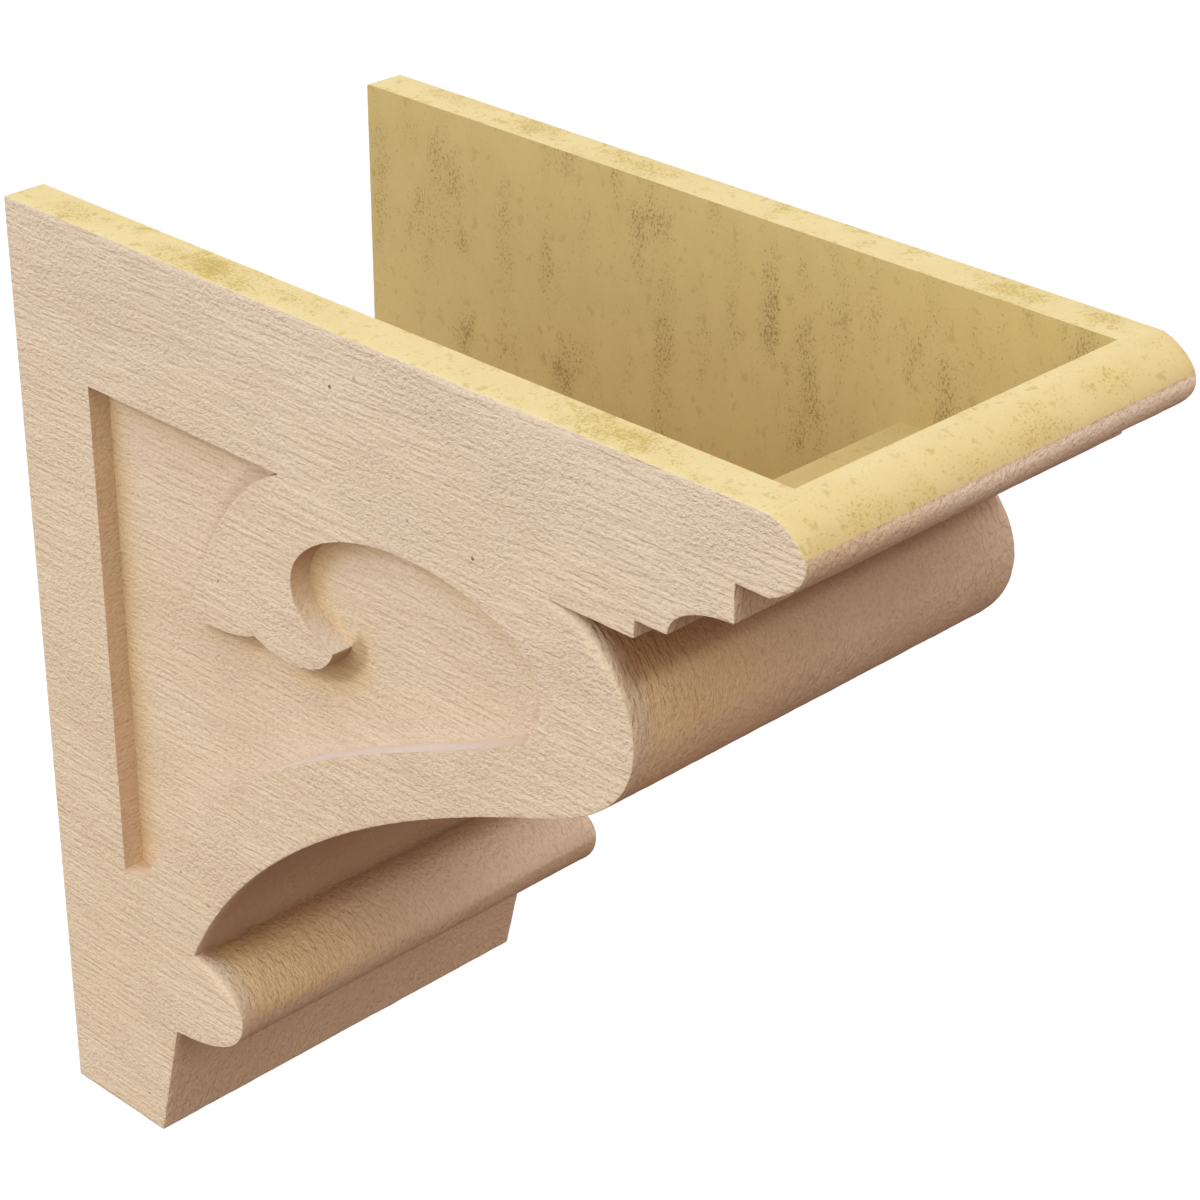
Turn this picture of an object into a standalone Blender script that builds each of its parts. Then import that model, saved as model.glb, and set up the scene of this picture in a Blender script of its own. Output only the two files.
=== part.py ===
# A hollow moulded corbel, 8 x 16 x 16 inches, in light faux-wood foam.
#
# Two flat side plates carry a front that is moulded from top to bottom: a
# rounded nose, a small step and a cove, a large roll, a long S-curve, a bead
# and a plain toe that slopes back to the foot.  The top and the back are open.
# Each side has a shallow sunk panel whose upper corner is filled by a leaf
# that curls over a comma-shaped eye.
#
# Metres, +Z up.  The corbel projects towards -Y and its wall plane is Y = 0.
# The origin is the centre of the bottom rail's back face, on the wall plane.

import math

import bmesh
import bpy
from mathutils import Matrix

MM = 0.001

# --- driving dimensions, in millimetres --------------------------------------
# In the profiles, the first number is the distance out from the wall and the
# second is the height above the foot.
WIDTH = 203.2            # 8 in, across the two side plates
HEIGHT = 406.4           # 16 in
DEPTH = 406.4            # 16 in, wall to the tip of the nose
WALL = 18.4              # side plates, S-curve and bottom rail, about 3/4 in
PANEL_DEPTH = 9.5        # 3/8 in

# toe and bead
TOE = (57.9, 0.0)
TOE_TOP = (72.3, 57.4)
BEAD_FRONT = (116.3, 83.1)
BEAD_TOP = (87.3, 102.3)
# S-curve and large roll
S_END = (286.0, 252.3)
ROLL_FRONT = (334.0, 298.2)
ROLL_TOP = (293.8, 341.1)
# crown moulding
CROWN_BOTTOM = 341.1
STEP_OUT = 333.7
FILLET_HEIGHT = 348.0
FILLET_OUT = 348.4
COVE_OUT = 28.9          # the cove is a quarter of an ellipse
COVE_RISE = 14.5
NOSE_BACK = 377.3
NOSE_BOTTOM = 377.2
NOSE_START = 391.8       # where the nose begins to round, below and above
NOSE_MIDDLE = 391.8      # height of its tip
# inside
RIM_INNER = 384.7        # the front rim's inner edge
RIM_DEPTH = 6.1          # the rim's inner face, before the floor slopes down
LEDGE_HEIGHT = 345.9
LEDGE_BACK = 291.6
LEDGE_FRONT = 306.0
ROLL_INNER = 280.4       # inner face behind the roll
# sunk panel
PANEL_LEFT = 44.7
PANEL_TOP = 341.1
PANEL_BOTTOM = 124.5
LEAF_TOP = (155.7, PANEL_TOP)
LEAF_END = (96.5, 261.7)
LEAF_NOTCH = (137.2, 268.6)
LEAF_TIP = (181.9, 277.0)
EYE_BACK = (161.8, 290.8)
EYE_CROWN = (218.4, 330.9)
EYE_FRONT = (289.8, 298.0)
EYE_CORNER = (281.5, 280.6)
PANEL_FOOT = (56.9, PANEL_BOTTOM)

CURVE_STEPS = 14


def bezier(p0, c1, c2, p3, steps=CURVE_STEPS):
    """Points on a cubic curve, without its first point."""
    pts = []
    for i in range(1, steps + 1):
        t = i / steps
        s = 1.0 - t
        a, b, c, d = s ** 3, 3 * s * s * t, 3 * s * t * t, t ** 3
        pts.append((a * p0[0] + b * c1[0] + c * c2[0] + d * p3[0],
                    a * p0[1] + b * c1[1] + c * c2[1] + d * p3[1]))
    return pts


def s_curve():
    return [BEAD_TOP] + bezier(BEAD_TOP, (124.8, 175.9), (210.4, 223.6),
                               S_END, 2 * CURVE_STEPS)


def side_outline():
    """The corbel's side view, from the foot at the wall, out and up."""
    pts = [(0.0, 0.0), TOE, TOE_TOP]
    pts += bezier(TOE_TOP, (86.9, 58.8), (116.2, 63.5), BEAD_FRONT)
    pts += bezier(BEAD_FRONT, (116.2, 92.4), (101.2, 100.4), BEAD_TOP)
    pts += s_curve()[1:]
    pts += bezier(S_END, (296.5, 257.0), (333.4, 268.0), ROLL_FRONT)
    pts += bezier(ROLL_FRONT, (334.0, 317.0), (316.2, 340.8), ROLL_TOP)
    pts += [(STEP_OUT, CROWN_BOTTOM), (STEP_OUT, FILLET_HEIGHT),
            (FILLET_OUT, FILLET_HEIGHT)]
    for i in range(1, CURVE_STEPS + 1):
        a = 0.5 * math.pi * i / CURVE_STEPS
        pts.append((NOSE_BACK - COVE_OUT * math.cos(a),
                    FILLET_HEIGHT + COVE_RISE * math.sin(a)))
    pts += [(NOSE_BACK, NOSE_BOTTOM), (NOSE_START, NOSE_BOTTOM)]
    tip = (DEPTH, NOSE_MIDDLE)
    pts += bezier((NOSE_START, NOSE_BOTTOM), (397.5, 379.2),
                  (DEPTH, 385.0), tip)
    pts += bezier(tip, (DEPTH, 398.6), (397.5, 405.0), (391.0, HEIGHT))
    pts += [(0.0, HEIGHT)]
    return pts


def offset_inward(pts, distance):
    """The same open curve, moved square to itself towards the wall side."""
    out = []
    for i, (u, z) in enumerate(pts):
        a = pts[max(i - 1, 0)]
        b = pts[min(i + 1, len(pts) - 1)]
        du, dz = b[0] - a[0], b[1] - a[1]
        n = math.hypot(du, dz)
        out.append((u - distance * dz / n, z + distance * du / n))
    return out


def cavity_outline():
    """The hollow between the side plates, run past the open back and top."""
    back, above = -20.0, HEIGHT + 20.0
    toe = offset_inward([TOE, TOE_TOP], WALL)
    slope = (toe[1][0] - toe[0][0]) / (toe[1][1] - toe[0][1])
    pts = [(back, WALL), (toe[0][0] + slope * (WALL - toe[0][1]), WALL), toe[1]]
    pts += [p for p in offset_inward(s_curve(), WALL) if p[0] < ROLL_INNER - 2]
    last, end = pts[-1], offset_inward(s_curve(), WALL)[-1]
    rise = (end[1] - last[1]) / (end[0] - last[0])
    pts += [(ROLL_INNER, last[1] + rise * (ROLL_INNER - last[0])),
            (ROLL_INNER, LEDGE_HEIGHT - (LEDGE_BACK - ROLL_INNER)),
            (LEDGE_BACK, LEDGE_HEIGHT), (LEDGE_FRONT, LEDGE_HEIGHT),
            (RIM_INNER, HEIGHT - RIM_DEPTH), (RIM_INNER, above),
            (back, above)]
    return pts


def panel_outline():
    """The sunk panel: straight sides at the wall and top, then the leaf, the
    eye that it curls over, and a long border beside the S-curve."""
    half = CURVE_STEPS // 2
    pts = [(PANEL_LEFT, PANEL_BOTTOM), (PANEL_LEFT, PANEL_TOP), LEAF_TOP]
    pts += bezier(LEAF_TOP, (119.9, 325.9), (107.7, 284.5), LEAF_END)
    pts += bezier(LEAF_END, (115.8, 263.3), (130.0, 263.7), LEAF_NOTCH, half)
    pts += bezier(LEAF_NOTCH, (143.8, 264.3), (173.8, 259.4), LEAF_TIP)
    pts += bezier(LEAF_TIP, (172.7, 280.4), (164.2, 286.5), EYE_BACK, half)
    pts += bezier(EYE_BACK, (150.3, 314.6), (190.8, 330.5), EYE_CROWN)
    pts += bezier(EYE_CROWN, (240.0, 332.1), (289.5, 326.3), EYE_FRONT)
    pts += bezier(EYE_FRONT, (289.7, 291.8), (284.9, 285.7), EYE_CORNER, half)
    pts += bezier(EYE_CORNER, (209.4, 243.0), (118.2, 222.8), PANEL_FOOT,
                  2 * CURVE_STEPS)
    return pts


def slab(name, outline, thickness, x_centre, collection):
    """A flat outline, drawn as a filled 2D curve and thickened along X."""
    curve = bpy.data.curves.new(name + "_outline", "CURVE")
    curve.dimensions = "2D"
    curve.fill_mode = "BOTH"
    curve.extrude = 0.5 * thickness * MM
    spline = curve.splines.new("POLY")
    spline.points.add(len(outline) - 1)
    for point, (u, z) in zip(spline.points, outline):
        point.co = (u * MM, z * MM, 0.0, 1.0)
    spline.use_cyclic_u = True
    drawn = bpy.data.objects.new(name + "_drawn", curve)
    # the outline's own X runs out from the wall and its own Y runs up
    drawn.matrix_world = Matrix(((0, 0, -1, x_centre * MM),
                                 (-1, 0, 0, 0),
                                 (0, 1, 0, -0.5 * WALL * MM),
                                 (0, 0, 0, 1)))
    collection.objects.link(drawn)
    bpy.context.view_layer.update()
    evaluated = drawn.evaluated_get(bpy.context.evaluated_depsgraph_get())
    mesh = bpy.data.meshes.new_from_object(evaluated)
    mesh.name = name
    bm = bmesh.new()
    bm.from_mesh(mesh)
    bmesh.ops.remove_doubles(bm, verts=bm.verts, dist=1e-6)
    bmesh.ops.recalc_face_normals(bm, faces=bm.faces)
    bm.to_mesh(mesh)
    bm.free()
    solid = bpy.data.objects.new(name, mesh)
    solid.matrix_world = drawn.matrix_world.copy()
    collection.objects.link(solid)
    bpy.data.objects.remove(drawn)
    return solid


def cut(target, cutter):
    cutter.hide_render = True
    cutter.display_type = "WIRE"
    modifier = target.modifiers.new("cut_" + cutter.name, "BOOLEAN")
    modifier.operation = "DIFFERENCE"
    modifier.solver = "EXACT"
    modifier.object = cutter


def finish_material():
    material = bpy.data.materials.new("primed_tan")
    material.use_nodes = True
    shader = material.node_tree.nodes["Principled BSDF"]
    shader.inputs["Base Color"].default_value = (0.68, 0.52, 0.38, 1.0)
    shader.inputs["Roughness"].default_value = 0.75
    shader.inputs["Metallic"].default_value = 0.0
    return material


def main():
    for old in list(bpy.data.objects):
        bpy.data.objects.remove(old)

    parts = bpy.data.collections.new("corbel_parts")
    cutters = bpy.data.collections.new("corbel_cutters")
    bpy.context.scene.collection.children.link(parts)
    bpy.context.scene.collection.children.link(cutters)

    corbel = slab("corbel", side_outline(), WIDTH, 0.0, parts)
    corbel.data.materials.append(finish_material())

    cavity = slab("cavity_cutter", cavity_outline(), WIDTH - 2 * WALL, 0.0,
                  cutters)
    cut(corbel, cavity)

    # the panel cutters stand half in and half out of each side face
    for side, sign in (("left", -1.0), ("right", 1.0)):
        panel = slab("panel_cutter_" + side, panel_outline(),
                     2 * PANEL_DEPTH, sign * 0.5 * WIDTH, cutters)
        cut(corbel, panel)


main()
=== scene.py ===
# The looks of the corbel: one moulded piece in a primed tan skin with a
# sandblasted grain, raw yellow foam where the moulding is cut and inside it.
# Sizes below are in millimetres: u runs out from the wall, z up from the foot.

import math

import bmesh
import bpy
import numpy as np
from mathutils import Matrix, Vector
from mathutils.geometry import delaunay_2d_cdt
from mathutils.kdtree import KDTree


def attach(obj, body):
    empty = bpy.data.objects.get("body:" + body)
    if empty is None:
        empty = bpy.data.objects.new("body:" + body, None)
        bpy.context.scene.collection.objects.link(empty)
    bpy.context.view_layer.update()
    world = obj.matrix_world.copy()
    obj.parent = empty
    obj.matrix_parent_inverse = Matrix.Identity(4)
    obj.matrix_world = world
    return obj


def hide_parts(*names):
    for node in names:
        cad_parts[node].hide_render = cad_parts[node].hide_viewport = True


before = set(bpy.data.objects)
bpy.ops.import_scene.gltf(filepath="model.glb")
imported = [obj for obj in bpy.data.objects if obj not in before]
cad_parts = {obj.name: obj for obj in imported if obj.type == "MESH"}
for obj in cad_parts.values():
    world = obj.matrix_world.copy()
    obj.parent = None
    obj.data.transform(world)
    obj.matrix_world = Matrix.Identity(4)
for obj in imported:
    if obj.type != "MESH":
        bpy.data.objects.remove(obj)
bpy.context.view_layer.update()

MM = 0.001
WIDTH, HEIGHT, DEPTH = 203.2, 406.4, 406.4
WALL, PANEL_DEPTH = 18.4, 9.5
TOE, TOE_TOP = (57.9, 0.0), (72.3, 57.4)
BEAD_FRONT, BEAD_TOP = (116.3, 83.1), (87.3, 102.3)
S_END, ROLL_FRONT, ROLL_TOP = (286.0, 252.3), (334.0, 298.2), (293.8, 341.1)
CROWN_BOTTOM, STEP_OUT, FILLET_HEIGHT, FILLET_OUT = 341.1, 333.7, 348.0, 348.4
COVE_OUT, COVE_RISE = 28.9, 14.5
NOSE_BACK, NOSE_BOTTOM, NOSE_START, NOSE_MIDDLE = 377.3, 377.2, 391.8, 391.8
RIM_INNER, RIM_DEPTH = 384.7, 6.1
LEDGE_HEIGHT, LEDGE_BACK, LEDGE_FRONT, ROLL_INNER = 345.9, 291.6, 306.0, 280.4
PANEL_LEFT, PANEL_TOP, PANEL_BOTTOM = 44.7, 341.1, 124.5
LEAF_TOP, LEAF_END = (155.7, PANEL_TOP), (96.5, 261.7)
LEAF_NOTCH, LEAF_TIP = (137.2, 268.6), (181.9, 277.0)
EYE_BACK, EYE_CROWN = (161.8, 290.8), (218.4, 330.9)
EYE_FRONT, EYE_CORNER = (289.8, 298.0), (281.5, 280.6)
PANEL_FOOT = (56.9, PANEL_BOTTOM)

CUT_LINE = 395.5         # the raw cut runs over the nose down to here
EDGE = 0.5               # rounding of every outer edge
CORNER = 0.9             # rounding of the outline's own corners
HALF = 0.5 * WIDTH
INNER = HALF - WALL
# pits in one side, painted as dark spots of shade and not cut into the mesh: where (out, up) and radius
PITS = [(186.3, 385.0, 1.0), (257.6, 343.5, 1.0), (82.5, 140.2, 0.6), (117.2, 284.0, 0.6)]
# stained patches of the cut faces: where (out, across), half length, half
# width and strength
STAINS = [(116, -94, 34, 16, 1.0), (32, -92, 22, 12, 0.65), (86, -95, 14, 9, 0.4),
          (316, -93, 36, 15, 0.85), (165, -90, 26, 9, 0.35),
          (88, 95, 20, 14, 0.8), (147, 93, 38, 14, 0.7), (37, 96, 22, 9, 0.5),
          (331, 92, 30, 13, 0.7), (370, 95, 13, 10, 0.8), (403, -68, 6, 34, 0.55),
          (403, -18, 5, 26, 0.45), (403, 14, 6, 26, 0.5), (398, 60, 7, 26, 0.4),
          (393, 90, 6, 12, 0.35)]
# and the darker groups down the inner faces: out, up, half sizes, how dark
RUNS = [(157, 386, 6, 30, 0.9), (226, 374, 8, 38, 0.9), (173, 343, 8, 40, 0.7),
        (82, 362, 8, 30, 0.6), (56, 311, 13, 22, 0.9), (116, 311, 13, 24, 0.9),
        (105, 358, 6, 34, 0.6), (127, 380, 6, 20, 0.5), (311, 358, 9, 26, 0.9),
        (260, 380, 8, 30, 0.5), (5, 358, 7, 60, 0.6), (192, 344, 7, 30, 0.5),
        (277, 384, 8, 22, 0.5), (240, 322, 9, 26, 0.4), (208, 390, 6, 18, 0.4)]

SIDE_STEP = (2.45, 1.36)  # grid on the side faces: along the grain, across it
FRONT_STEP, FRONT_ACROSS = 1.8, 4.2


# --- plane curves ------------------------------------------------------------

def bezier(p0, c1, c2, p3, steps=160):
    t = np.linspace(0.0, 1.0, steps + 1)[:, None]
    s = 1.0 - t
    p0, c1, c2, p3 = (np.array(p, float) for p in (p0, c1, c2, p3))
    return s ** 3 * p0 + 3 * s * s * t * c1 + 3 * s * t * t * c2 + t ** 3 * p3


def straight(a, b):
    return np.array([a, b], float)


def lengths(poly):
    step = np.hypot(*np.diff(poly, axis=0).T)
    return np.concatenate([[0.0], np.cumsum(step)])


def resample(poly, step, start=0.0, end=0.0):
    """Evenly spaced points on a polyline, less a length at each end."""
    run = lengths(poly)
    total = run[-1] - start - end
    n = max(1, int(round(total / step)))
    at = start + total * np.arange(n + 1) / n
    return np.stack([np.interp(at, run, poly[:, k]) for k in (0, 1)], -1)


def closed_loop(pieces, radius, crevices=False, arc=3):
    """Joins (name, polyline, step) pieces into one closed loop and rounds the
    corners between them; its crevices only where that is asked for. Returns the points and the name of the piece that
    each edge belongs to, which starts at the point of the same index."""
    polys = [p for _, p, _ in pieces]
    n = len(polys)
    cuts = [[0.0, 0.0] for _ in polys]
    corner = [False] * n
    for i in range(n):
        j = (i + 1) % n
        a = polys[i][-1] - polys[i][-2]
        b = polys[j][1] - polys[j][0]
        cosine = float(a @ b) / (np.hypot(*a) * np.hypot(*b))
        turn = math.acos(max(-1.0, min(1.0, cosine)))
        if turn > math.radians(14) and (crevices or a[0] * b[1] > a[1] * b[0]):
            back = min(radius * math.tan(min(0.5 * turn, 1.2)), 1.6 * radius,
                       0.3 * lengths(polys[i])[-1], 0.3 * lengths(polys[j])[-1])
            cuts[i][1] = cuts[j][0] = back
            corner[i] = True
    points, names = [], []
    for i, (name, poly, step) in enumerate(pieces):
        row = resample(poly, step, *cuts[i])
        points += list(row[:-1])
        names += [name] * (len(row) - 1)
        if corner[i]:
            j = (i + 1) % n
            nxt = resample(polys[j], pieces[j][2], *cuts[j])[0]
            tip = polys[i][-1]
            for k in range(arc):
                t = k / arc
                points.append((1 - t) ** 2 * row[-1] + 2 * t * (1 - t) * tip
                              + t * t * nxt)
                names.append(name + "/" + pieces[j][0])
    return np.array(points), names


def loop_normals(points):
    """Unit normals to the left of a closed loop, and how far a corner's own
    offset has to be stretched."""
    edge = np.roll(points, -1, axis=0) - points
    edge /= np.maximum(np.hypot(*edge.T), 1e-9)[:, None]
    left = np.stack([-edge[:, 1], edge[:, 0]], -1)
    mean = left + np.roll(left, 1, axis=0)
    size = np.hypot(*mean.T)
    unit = np.where(size[:, None] > 0.15, mean / np.maximum(size, 1e-9)[:, None],
                    np.roll(edge, 1, axis=0))
    stretch = np.clip(2.0 / np.maximum(size, 1e-9), 1.0, 1.35)
    return unit, stretch


def inside(points, loop):
    """Whether each point is inside a closed loop, by counting crossings."""
    x, y = points[:, 0], points[:, 1]
    hit = np.zeros(len(points), bool)
    nxt = np.roll(loop, -1, axis=0)
    for (x0, y0), (x1, y1) in zip(loop, nxt):
        if y0 == y1:
            continue
        cross = (y0 > y) != (y1 > y)
        at = x0 + (y[cross] - y0) * (x1 - x0) / (y1 - y0)
        hit[np.nonzero(cross)[0][x[cross] < at]] ^= True
    return hit


def tree(points):
    kd = KDTree(len(points))
    for i, p in enumerate(points):
        kd.insert((float(p[0]), float(p[1]), 0.0), i)
    kd.balance()
    return kd


def inner_points(outer, holes, du, dz, margin):
    """A staggered grid inside a loop, clear of its edges and its holes."""
    lo, hi = outer.min(0), outer.max(0)
    rows = []
    for r, z in enumerate(np.arange(lo[1] + 0.5 * dz, hi[1], dz)):
        u = np.arange(lo[0] + (0.25 + 0.5 * (r % 2)) * du, hi[0], du)
        rows.append(np.stack([u, np.full(len(u), z)], -1))
    grid = np.concatenate(rows)
    keep = inside(grid, outer)
    for hole in holes:
        keep &= ~inside(grid, hole)
    grid = grid[keep]
    edge = np.concatenate([resample(np.vstack([l, l[:1]]), 0.5 * margin)
                           for l in (outer, *holes)])
    kd = tree(edge)
    near = np.array([kd.find((p[0], p[1], 0.0))[2] for p in grid])
    return grid[near > margin]


def triangulate(loops, extra):
    """Triangles over the first loop less the others, through extra points.
    Indices run over the loops' points and then the extra ones."""
    points = np.concatenate([*loops, extra])
    edges, at = [], 0
    for loop in loops:
        n = len(loop)
        edges += [(at + i, at + (i + 1) % n) for i in range(n)]
        at += n
    made = delaunay_2d_cdt([Vector((float(p[0]), float(p[1]))) for p in points],
                           edges, [], 0, 1e-5)
    if len(made[0]) != len(points):
        raise RuntimeError("the outline crosses itself")
    back = np.array([ids[0] for ids in made[3]])
    tris = back[np.array(made[2])]
    middle = points[tris].mean(1)
    keep = inside(middle, loops[0])
    for hole in loops[1:]:
        keep &= ~inside(middle, hole)
    return tris[keep]


# --- noise for the relief ----------------------------------------------------

def lattice(ix, iy, seed):
    h = (ix.astype(np.int64) * 374761393 + iy.astype(np.int64) * 668265263
         + seed * 974634777) & 0xFFFFFFFF
    h = ((h ^ (h >> 13)) * 1274126177) & 0xFFFFFFFF
    h = ((h ^ (h >> 15)) * 2246822519) & 0xFFFFFFFF
    return ((h ^ (h >> 16)) & 0xFFFFFF) / float(0x7FFFFF) - 1.0


def noise(x, y, seed):
    """Smooth noise between -1 and 1, with a cell of 1 in each direction."""
    ix, iy = np.floor(x), np.floor(y)
    fx, fy = x - ix, y - iy
    fx, fy = (f * f * f * (f * (6 * f - 15) + 10) for f in (fx, fy))
    a, b = lattice(ix, iy, seed), lattice(ix + 1, iy, seed)
    c, d = lattice(ix, iy + 1, seed), lattice(ix + 1, iy + 1, seed)
    return (a * (1 - fx) + b * fx) * (1 - fy) + (c * (1 - fx) + d * fx) * fy


def step_between(x, low, high):
    t = np.clip((x - low) / (high - low), 0.0, 1.0)
    return t * t * (3 - 2 * t)


def grain(along, across, seed):
    """Height in millimetres of the sandblasted grain: long ridges that weave a
    little, short strokes that lean across them, and rougher patches."""
    weave = 3.0 * noise(along / 60, across / 26, seed + 1) \
        + 1.1 * noise(along / 19, across / 9, seed + 2)
    line = across + weave
    ridges = noise(along / 26, line / 2.7, seed + 3)
    strokes = noise(along / 7.5, (line + 0.42 * along) / 2.3, seed + 4)
    swell = noise(along / 48, across / 15, seed + 5)
    patch = step_between(noise(along / 42, across / 30, seed + 6), 0.05, 0.6)
    torn = noise(along / 4.6, (line + 0.3 * along) / 2.6, seed + 7)
    return (0.095 * ridges + (0.06 + 0.07 * patch) * strokes + 0.10 * swell
            + 0.14 * patch * np.minimum(torn, 0.25))


# --- the outlines ------------------------------------------------------------

f, s = FRONT_STEP, SIDE_STEP[0]
nose_tip = (DEPTH, NOSE_MIDDLE)
cove = np.array([(NOSE_BACK - COVE_OUT * math.cos(a),
                  FILLET_HEIGHT + COVE_RISE * math.sin(a))
                 for a in np.linspace(0.0, 0.5 * math.pi, 60)])
BODY = [
    ("foot", straight((0, 0), TOE), 2.6),
    ("toe", straight(TOE, TOE_TOP), f),
    ("bead_under", bezier(TOE_TOP, (86.9, 58.8), (116.2, 63.5), BEAD_FRONT), f),
    ("bead_over", bezier(BEAD_FRONT, (116.2, 92.4), (101.2, 100.4), BEAD_TOP), f),
    ("s_curve", bezier(BEAD_TOP, (124.8, 175.9), (210.4, 223.6), S_END), f),
    ("roll_under", bezier(S_END, (296.5, 257.0), (333.4, 268.0), ROLL_FRONT), f),
    ("roll_over", bezier(ROLL_FRONT, (334.0, 317.0), (316.2, 340.8), ROLL_TOP), f),
    ("soffit", straight(ROLL_TOP, (STEP_OUT, CROWN_BOTTOM)), f),
    ("step", straight((STEP_OUT, CROWN_BOTTOM), (STEP_OUT, FILLET_HEIGHT)), f),
    ("fillet", straight((STEP_OUT, FILLET_HEIGHT), (FILLET_OUT, FILLET_HEIGHT)), f),
    ("cove", cove, f),
    ("cove_wall", straight((NOSE_BACK, FILLET_HEIGHT + COVE_RISE),
                           (NOSE_BACK, NOSE_BOTTOM)), f),
    ("nose_floor", straight((NOSE_BACK, NOSE_BOTTOM), (NOSE_START, NOSE_BOTTOM)), f),
    ("nose_under", bezier((NOSE_START, NOSE_BOTTOM), (397.5, 379.2),
                          (DEPTH, 385.0), nose_tip), f),
    ("nose_over", bezier(nose_tip, (DEPTH, 398.6), (397.5, 405.0),
                         (391.0, HEIGHT)), f),
    ("rim", straight((391.0, HEIGHT), (RIM_INNER, HEIGHT)), 2.1),
    ("top", straight((RIM_INNER, HEIGHT), (0, HEIGHT)), s),
    ("back", straight((0, HEIGHT), (0, WALL)), s),
    ("back_rail", straight((0, WALL), (0, 0)), s),
]
PANEL = [
    ("left", straight((PANEL_LEFT, PANEL_BOTTOM), (PANEL_LEFT, PANEL_TOP)), 2.2),
    ("top", straight((PANEL_LEFT, PANEL_TOP), LEAF_TOP), 2.2),
    ("leaf", bezier(LEAF_TOP, (119.9, 325.9), (107.7, 284.5), LEAF_END), 1.7),
    ("leaf_foot", bezier(LEAF_END, (115.8, 263.3), (130.0, 263.7), LEAF_NOTCH), 1.6),
    ("lobe", bezier(LEAF_NOTCH, (143.8, 264.3), (173.8, 259.4), LEAF_TIP), 1.6),
    ("hook", bezier(LEAF_TIP, (172.7, 280.4), (164.2, 286.5), EYE_BACK), 1.6),
    ("eye_back", bezier(EYE_BACK, (150.3, 314.6), (190.8, 330.5), EYE_CROWN), 1.7),
    ("eye_front", bezier(EYE_CROWN, (240.0, 332.1), (289.5, 326.3), EYE_FRONT), 1.7),
    ("eye_corner", bezier(EYE_FRONT, (289.7, 291.8), (284.9, 285.7), EYE_CORNER), 1.6),
    ("border", bezier(EYE_CORNER, (209.4, 243.0), (118.2, 222.8), PANEL_FOOT), 1.9),
    ("foot", straight(PANEL_FOOT, (PANEL_LEFT, PANEL_BOTTOM)), 2.0),
]

body, body_name = closed_loop(BODY, CORNER)
panel, panel_name = closed_loop(PANEL, 0.6, True)
body_in, body_stretch = loop_normals(body)           # points into the solid
N, M = len(body), len(panel)

body_run = np.concatenate([[0.0], np.cumsum(np.hypot(
    *(np.roll(body, -1, axis=0) - body).T))])[:-1]


def soft_radius():
    """How far the end edges are worn round: widest over the bead and the top
    of the roll, slight along the nose and the cut edges."""
    r = np.full(N, EDGE)
    shapes = {"bead_over": (5.0, 1.5, 0.72), "roll_over": (6.0, 2.4, 0.74)}
    for i, name in enumerate(body_name):
        base = name.split("/")[0]
        if base in shapes:
            high, last, peak = shapes[base]
            ids = [k for k, b in enumerate(body_name) if b.split("/")[0] == base]
            t = (i - ids[0]) / (len(ids) - 1)
            if t < peak:
                r[i] = EDGE + (high - EDGE) * float(step_between(np.array(t), 0.05, peak))
            else:
                r[i] = last + (high - last) * (1 - float(step_between(np.array(t), peak, 1.0)))
        elif base == "nose_over":
            r[i] = 1.3
        elif base == "rim":
            r[i] = 0.8
        elif base == "nose_under":
            r[i] = 1.0
    for _ in range(10):
        smooth = (np.roll(r, 1) + r + np.roll(r, -1)) / 3.0
        r = np.where([n.split("/")[0] in ("nose_over", "nose_under", "rim", "top",
                                          "nose_floor", "back") for n in body_name],
                     smooth, r)
    return r


R_SOFT = soft_radius()

# --- one closed mesh ---------------------------------------------------------

verts, home = [], []     # home: loop row, distance in, distance from the end
faces = []               # (corner ids, material, kind)
TAN, CUT, RAW, MOULDED = 0, 1, 2, 3
SIDE, FRONT, WALLS, CAVITY = 0, 1, 2, 3


def add(x, uz, row=None, a=0.0, b=0.0):
    ids = np.arange(len(verts), len(verts) + len(uz))
    for k, (u, z) in enumerate(uz):
        verts.append((x, u, z))
        home.append((-1 if row is None else row[k], a, b))
    return ids


def band(lower, upper, material, kind, closed=True):
    """Quads between two rows of equal length."""
    n = len(lower)
    for i in range(n if closed else n - 1):
        j = (i + 1) % n
        m = material[i] if hasattr(material, "__len__") else material
        faces.append(((lower[i], lower[j], upper[j], upper[i]), m, kind))


cut_row = []
for i, name in enumerate(body_name):
    mid = 0.5 * (body[i] + body[(i + 1) % N])
    base = name.split("/")[0]
    cut_row.append(base in ("rim", "top", "back", "back_rail")
                   or base == "nose_over" and mid[1] > CUT_LINE)
open_edge = [name.split("/")[0] in ("top", "back") and name != "back/back_rail"
             for name in body_name]
front_mat = [CUT if c else MOULDED for c in cut_row]

outer_x = np.linspace(HALF - EDGE, INNER, 6)
middle_x = np.linspace(INNER, -INNER, int(round(2 * INNER / FRONT_ACROSS)) + 1)
columns = np.concatenate([outer_x[:-1], middle_x, -outer_x[::-1][1:]])
first_mid, last_mid = len(outer_x) - 1, len(outer_x) - 1 + len(middle_x) - 1
grid = np.full((N, len(columns)), -1, int)
for j, x in enumerate(columns):
    for i in range(N):
        deep = first_mid < j < last_mid
        if deep and open_edge[i] and open_edge[i - 1]:
            continue
        grid[i, j] = len(verts)
        verts.append((x, body[i, 0], body[i, 1]))
        home.append((i, 0.0, HALF - abs(x)))
for i in range(N):
    k = (i + 1) % N
    for j in range(len(columns) - 1):
        if open_edge[i] and first_mid <= j < last_mid:
            continue
        faces.append(((grid[i, j], grid[k, j], grid[k, j + 1], grid[i, j + 1]),
                      front_mat[i], FRONT))

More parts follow.
